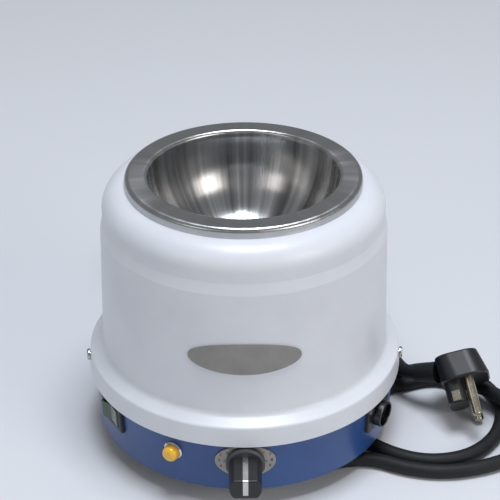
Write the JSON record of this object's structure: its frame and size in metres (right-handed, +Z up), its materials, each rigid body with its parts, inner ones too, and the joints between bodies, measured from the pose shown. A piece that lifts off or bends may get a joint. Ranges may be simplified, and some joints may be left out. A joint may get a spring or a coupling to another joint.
{
  "type": "heating mantle",
  "caption": "Bench heating mantle with a hemispherical steel bowl, round housing, power dial, rocker switch, sensor socket and a mains cord with a moulded plug.",
  "frame": {"origin": "on the vertical axis of the bowl, at the surface the feet stand on; the cord and plug are left out of it", "axes": "+Z up along the bowl's axis, -Y towards the control side, +X to the right seen from the control side"},
  "size_m": [0.2234, 0.3056, 0.1379],
  "materials": {
    "housing_paint": "pale grey stove enamel, satin",
    "base_paint": "blue stove enamel, satin",
    "bowl_steel": "spun stainless steel, polished lip",
    "plain_steel": "galvanised sheet",
    "blanket_cloth": "glass cloth",
    "wire_alloy": "dull resistance alloy",
    "wool": "mineral wool",
    "foot_rubber": "matt",
    "screw_steel": "plated",
    "plate_aluminium": "satin anodised",
    "pointer_aluminium": "bright",
    "knob_black": "fine matt",
    "disc_grey": "matt",
    "phenolic": "moulded",
    "shaft_steel": "turned",
    "lens_yellow": "clear amber",
    "bezel_chrome": "polished",
    "part_black": "fine matt",
    "rocker_green": "glossy",
    "terminal_white": "moulded",
    "board_green": "lacquered",
    "gland_black": "moulded",
    "cord_rubber": "matt",
    "plug_black": "moulded",
    "pin_nickel": "nickelled"
  },
  "bodies": {
    "mantle": {"upper_housing": "housing_paint", "control_base": "base_paint", "heating_bowl": "bowl_steel", "bottom_plate": "plain_steel", "heat_shield": "plain_steel", "shield_pillars": "plain_steel", "heating_blanket": "blanket_cloth", "heating_wire": "wire_alloy", "insulation": "wool", "foot_rear_right": "foot_rubber", "foot_rear_left": "foot_rubber", "foot_front_left": "foot_rubber", "foot_front_right": "foot_rubber", "foot_screws": "screw_steel", "plate_screws": "screw_steel", "side_screw_left": "screw_steel", "side_screw_right": "screw_steel", "socket_screws": "screw_steel", "regulator_nut": "screw_steel", "badge_plate": "plate_aluminium", "dial_plate": "plate_aluminium", "regulator_body": "phenolic", "lamp_lens": "lens_yellow", "lamp_bezel": "bezel_chrome", "socket_collar": "bezel_chrome", "lamp_body": "part_black", "switch_housing": "part_black", "socket_body": "part_black", "socket_insert": "part_black", "terminal_block": "terminal_white", "control_board": "board_green", "board_spacers": "board_green", "cord_gland": "gland_black", "gland_nut": "gland_black", "mains_cord": "cord_rubber", "kink_boot": "cord_rubber", "plug_boot": "cord_rubber", "plug_body": "plug_black", "plug_pins": "pin_nickel", "plug_earth_clip": "pin_nickel"},
    "knob": {"knob_disc": "disc_grey", "control_knob": "knob_black", "knob_pointer": "pointer_aluminium", "regulator_shaft": "shaft_steel"},
    "rocker": {"switch_rocker": "rocker_green"}
  },
  "joints": [
    {"name": "knob_turn", "type": "hinge", "parent": "mantle", "child": "knob", "pos_m": [0, -0.07297, 0.027], "axis": [0, 0.9994, 0.0338], "range_deg": [0, 290]},
    {"name": "rocker_tilt", "type": "hinge", "parent": "mantle", "child": "rocker", "pos_m": [-0.06202, -0.03727, 0.02942], "axis": [-0.029, -0.0174, 0.9994], "range_deg": [-14, 0]}
  ]
}
